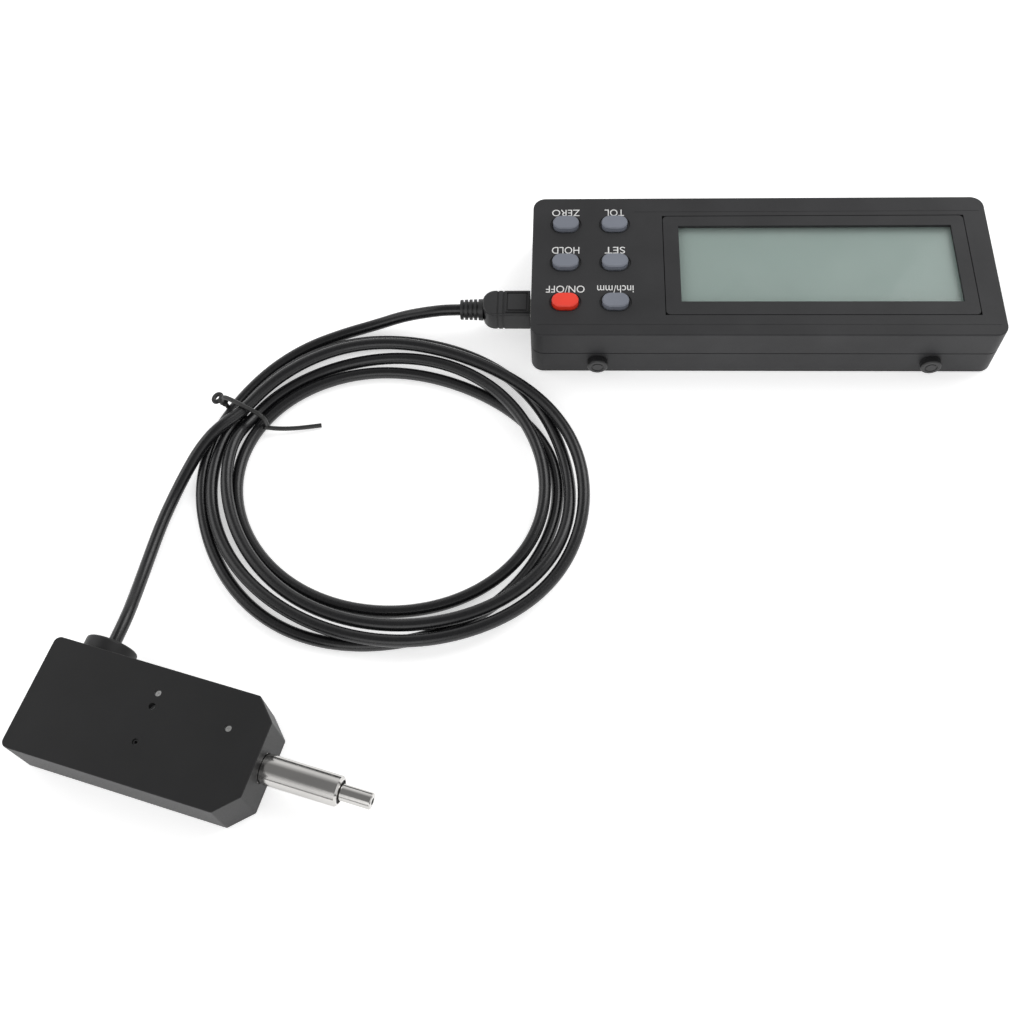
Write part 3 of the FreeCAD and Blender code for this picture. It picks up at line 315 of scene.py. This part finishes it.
def noise(tree, places, scale, detail=4, stretch=None):
    """A noise pattern whose features are scale metres apart, stretched along each axis if asked."""
    if stretch:
        mapping = tree.nodes.new("ShaderNodeMapping")
        mapping.inputs["Scale"].default_value = stretch
        tree.links.new(places, mapping.inputs["Vector"])
        places = mapping.outputs["Vector"]
    pattern = tree.nodes.new("ShaderNodeTexNoise")
    pattern.inputs["Scale"].default_value = 1 / scale
    pattern.inputs["Detail"].default_value = detail
    tree.links.new(places, pattern.inputs["Vector"])
    return pattern.outputs["Fac"]


def ranged(tree, fac, low, high):
    """The pattern's usual span, spread from low to high."""
    spread = tree.nodes.new("ShaderNodeMapRange")
    spread.inputs["From Min"].default_value = 0.3
    spread.inputs["From Max"].default_value = 0.7
    spread.inputs["To Min"].default_value = low
    spread.inputs["To Max"].default_value = high
    tree.links.new(fac, spread.inputs["Value"])
    return spread.outputs["Result"]


def shades(tree, fac, first, second):
    """A colour that goes from first to second with the pattern."""
    ramp = tree.nodes.new("ShaderNodeValToRGB")
    ramp.color_ramp.elements[0].position = 0.35
    ramp.color_ramp.elements[1].position = 0.65
    ramp.color_ramp.elements[0].color = (*first, 1)
    ramp.color_ramp.elements[1].color = (*second, 1)
    tree.links.new(fac, ramp.inputs["Fac"])
    return ramp.outputs["Color"]


def bumped(tree, shader, height, depth, strength=1.0):
    """Gives the surface the pattern as relief, depth metres high."""
    bump = tree.nodes.new("ShaderNodeBump")
    bump.inputs["Distance"].default_value = depth
    bump.inputs["Strength"].default_value = strength
    tree.links.new(height, bump.inputs["Height"])
    tree.links.new(bump.outputs["Normal"], shader.inputs["Normal"])


def finish_of(name, colour, rough, grain, depth, vary=0.12, metal=0.0, rough_vary=0.05, cloud=0.02,
              stretch=None, strength=1.0, shine=0.5):
    """A surface with a fine grain, slow clouds of shade and uneven gloss."""
    made, tree, shader, places = material(name)
    clouds = noise(tree, places, cloud, 5)
    dark = tuple(c * (1 - vary) for c in colour)
    pale = tuple(min(1, c * (1 + vary)) for c in colour)
    tree.links.new(shades(tree, clouds, dark, pale), shader.inputs["Base Color"])
    fine = noise(tree, places, grain, 2, stretch)
    tree.links.new(ranged(tree, fine, rough - rough_vary, rough + rough_vary), shader.inputs["Roughness"])
    shader.inputs["Metallic"].default_value = metal
    shader.inputs["Specular IOR Level"].default_value = shine
    bumped(tree, shader, fine, depth, strength)
    return made


FLOOR_HALF, FLOOR_DROP = 3.0, 0.0002
FLOOR_GLOW = 0.5
# The sky's shade at heights from the horizon, 0, to straight up, 1.
SKY = ((0.08, 0.12), (0.16, 1.0), (0.48, 1.0), (0.85, 0.27))
# Each light's place, size and power. All of them face the middle of the object.
LIGHTS = (("key", (0.9, 1.3, 1.5), 1.2, 13), ("fill", (-1.3, 0.2, 1.1), 1.0, 4),
          ("front", (0.2, -1.2, 0.9), 1.0, 3))
MIDDLE = Vector((0.06, 0.13, 0))


def add_floor():
    """A sheet of white paper that glows a little, so that it stays white under the object."""
    mesh = bpy.data.meshes.new("floor")
    sides = ((-1, -1), (1, -1), (1, 1), (-1, 1))
    corners = [(x * FLOOR_HALF, y * FLOOR_HALF, -FLOOR_DROP) for x, y in sides]
    mesh.from_pydata(corners, [], [(0, 1, 2, 3)])
    floor = bpy.data.objects.new("floor", mesh)
    bpy.context.collection.objects.link(floor)
    made, tree, shader, places = material("floor_paper")
    paper = noise(tree, places, 0.4, 2)
    tree.links.new(shades(tree, paper, (0.95, 0.95, 0.95), (0.96, 0.96, 0.96)), shader.inputs["Base Color"])
    shader.inputs["Roughness"].default_value = 0.9
    shader.inputs["Specular IOR Level"].default_value = 0.1
    shader.inputs["Emission Color"].default_value = (1, 1, 1, 1)
    shader.inputs["Emission Strength"].default_value = FLOOR_GLOW
    mesh.materials.append(made)


def add_sky():
    """A sky that is brightest low down, with a dark band along the horizon that the steel mirrors."""
    world = bpy.data.worlds.new("sky")
    world.use_nodes = True
    sky = next(n for n in world.node_tree.nodes if n.type == "BACKGROUND")
    nodes, links = world.node_tree.nodes, world.node_tree.links
    split = nodes.new("ShaderNodeSeparateXYZ")
    links.new(nodes.new("ShaderNodeTexCoord").outputs["Generated"], split.inputs["Vector"])
    ramp = nodes.new("ShaderNodeValToRGB")
    stops = ramp.color_ramp.elements
    while len(stops) < len(SKY):
        stops.new(0.5)
    for stop, (height, shade) in zip(stops, SKY):
        stop.position, stop.color = height, (shade, shade, shade, 1)
    links.new(split.outputs["Z"], ramp.inputs["Fac"])
    links.new(ramp.outputs["Color"], sky.inputs["Color"])
    bpy.context.scene.world = world


def add_lights():
    for name, place, size, power in LIGHTS:
        light = bpy.data.lights.new(name, "AREA")
        light.size = size
        light.energy = power
        lamp = bpy.data.objects.new(name, light)
        bpy.context.collection.objects.link(lamp)
        lamp.location = place
        lamp.rotation_euler = (MIDDLE - Vector(place)).to_track_quat("-Z", "Y").to_euler()


add_floor()
add_sky()
add_lights()
bpy.context.scene.view_settings.view_transform = "Standard"


# ---------------------------------------------------------------- materials of the pieces

def brushed(name, colour, rough, along):
    """Metal with fine lines along or round its axis."""
    return finish_of(name, colour, rough, 0.00025, 0.000004, vary=0.05, metal=1.0, rough_vary=0.05,
                     stretch=along, strength=0.35)


# Lines that run round an axis along X.
ROUND = (8, 0.25, 0.25)
FINISHES = {
    "head_black": finish_of("head_black", (0.009, 0.009, 0.0095), 0.5, 0.00022, 0.000018, strength=0.6,
                            shine=0.38),
    "black_steel": finish_of("black_steel", (0.02, 0.02, 0.021), 0.4, 0.0003, 0.00001),
    "polished_steel": brushed("polished_steel", (0.53, 0.52, 0.505), 0.14, ROUND),
    "plain_steel": brushed("plain_steel", (0.5, 0.5, 0.5), 0.32, ROUND),
    "bright_screw": finish_of("bright_screw", (0.93, 0.93, 0.92), 0.16, 0.0002, 0.000005, metal=1.0),
    "spring_steel": brushed("spring_steel", (0.45, 0.45, 0.45), 0.3, ROUND),
    "brass": brushed("brass", (0.74, 0.55, 0.24), 0.28, ROUND),
    "felt": finish_of("felt", (0.03, 0.03, 0.03), 0.95, 0.0003, 0.0001),
    "aluminium": brushed("aluminium", (0.66, 0.67, 0.68), 0.34, (1, 8, 1)),
    "circuit_board": finish_of("circuit_board", (0.015, 0.13, 0.05), 0.35, 0.0006, 0.00001),
    "cable_rubber": finish_of("cable_rubber", (0.007, 0.007, 0.008), 0.27, 0.0009, 0.000012, cloud=0.03,
                              strength=0.4),
    "tie_plastic": finish_of("tie_plastic", (0.02, 0.02, 0.02), 0.42, 0.0005, 0.00002),
    "plug_plastic": finish_of("plug_plastic", (0.02, 0.02, 0.021), 0.44, 0.00025, 0.000012),
    "nickel": finish_of("nickel", (0.66, 0.65, 0.62), 0.25, 0.0003, 0.000004, metal=1.0),
    "case_plastic": finish_of("case_plastic", (0.028, 0.028, 0.0295), 0.5, 0.00024, 0.00002, strength=0.7,
                              shine=0.26),
    "stud_plastic": finish_of("stud_plastic", (0.016, 0.016, 0.017), 0.4, 0.0003, 0.00001),
    "white_plastic": finish_of("white_plastic", (0.75, 0.75, 0.73), 0.5, 0.0004, 0.00001, vary=0.04),
    "contact_rubber": finish_of("contact_rubber", (0.35, 0.2, 0.16), 0.7, 0.0003, 0.00002,
                                stretch=(12, 0.3, 1)),
    "cell_wrap": finish_of("cell_wrap", (0.05, 0.14, 0.38), 0.28, 0.0006, 0.000008),
    "key_red": finish_of("key_red", (0.86, 0.045, 0.022), 0.42, 0.00025, 0.00001, vary=0.06),
    "key_grey": finish_of("key_grey", (0.19, 0.205, 0.245), 0.46, 0.00025, 0.00001, vary=0.06),
    "lcd_glass": finish_of("lcd_glass", (0.262, 0.36, 0.325), 0.4, 0.00035, 0.000004, vary=0.035,
                           cloud=0.05),
}


def clear_pane():
    """The window over the screen, almost clear and slightly hazy."""
    made, tree, shader, places = material("clear_pane")
    haze = noise(tree, places, 0.02, 3)
    tree.links.new(ranged(tree, haze, 0.04, 0.1), shader.inputs["Roughness"])
    tree.links.new(shades(tree, haze, (0.5, 0.55, 0.53), (0.56, 0.6, 0.58)), shader.inputs["Base Color"])
    shader.inputs["Alpha"].default_value = 0.12
    return made


FINISHES["clear_pane"] = clear_pane()
SLOTS = {piece["node"]: piece["material_slot"] for piece in frame["record"]["subparts"]}
for node, thing in frame["nodes"].items():
    thing.data.materials.clear()
    thing.data.materials.append(FINISHES[SLOTS[node]])
cable.data.materials.append(FINISHES["cable_rubber"])
for wire in TIE:
    wire.data.materials.append(FINISHES["tie_plastic"])
spring.data.materials.append(FINISHES["spring_steel"])


# ---------------------------------------------------------------- legends

def legend_ink():
    """White print, a little worn."""
    made, tree, shader, places = material("legend_ink")
    worn = noise(tree, places, 0.0004, 3)
    tree.links.new(shades(tree, worn, (0.74, 0.74, 0.73), (0.86, 0.86, 0.85)), shader.inputs["Base Color"])
    tree.links.new(ranged(tree, worn, 0.45, 0.6), shader.inputs["Roughness"])
    return made


INK = legend_ink()
# Each word, its middle on the display's length and depth, and its width.
LEGENDS = (("ZERO", 12.1, 55.5, 10.2), ("TOL", 29.85, 55.5, 7.1), ("HOLD", 12.1, 37.8, 9.9),
           ("SET", 29.85, 37.8, 7.3), ("ON/OFF", 12.1, 20.1, 13.7), ("inch/mm", 29.85, 20.1, 12.9))
LETTER_HEIGHT = 3.1
# The one word in small letters is printed a little taller.
SMALL_WORD, SMALL_HEIGHT = "inch/mm", 3.4
INK_THICK = 0.02


def add_legend(word, u, v, width):
    """Printed lettering that reads from the display's far side."""
    text = bpy.data.curves.new("text", "FONT")
    text.body = word
    text.align_x, text.align_y = "CENTER", "CENTER"
    text.size = LETTER_HEIGHT
    text.extrude = INK_THICK / 2
    typed = bpy.data.objects.new("text", text)
    bpy.context.collection.objects.link(typed)
    bpy.context.view_layer.update()
    shape = bpy.data.meshes.new_from_object(typed.evaluated_get(bpy.context.evaluated_depsgraph_get()))
    bpy.data.objects.remove(typed)
    shape.materials.clear()
    shape.materials.append(INK)
    xs = [point.co.x for point in shape.vertices]
    ys = [point.co.y for point in shape.vertices]
    middle = Vector(((min(xs) + max(xs)) / 2, (min(ys) + max(ys)) / 2, 0))
    across = width / (max(xs) - min(xs))
    tall = (SMALL_HEIGHT if word == SMALL_WORD else LETTER_HEIGHT) / (max(ys) - min(ys))
    for point in shape.vertices:
        flat = point.co - middle
        place = (u - flat.x * across, v - flat.y * tall, CASE_TOP + INK_THICK / 2 + flat.z)
        point.co = on_display(*place) * MM
    name = "legend_" + word.lower().replace("/", "_")
    piece = bpy.data.objects.new(name, shape)
    bpy.context.collection.objects.link(piece)
    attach(piece, "display")


for entry in LEGENDS:
    add_legend(*entry)
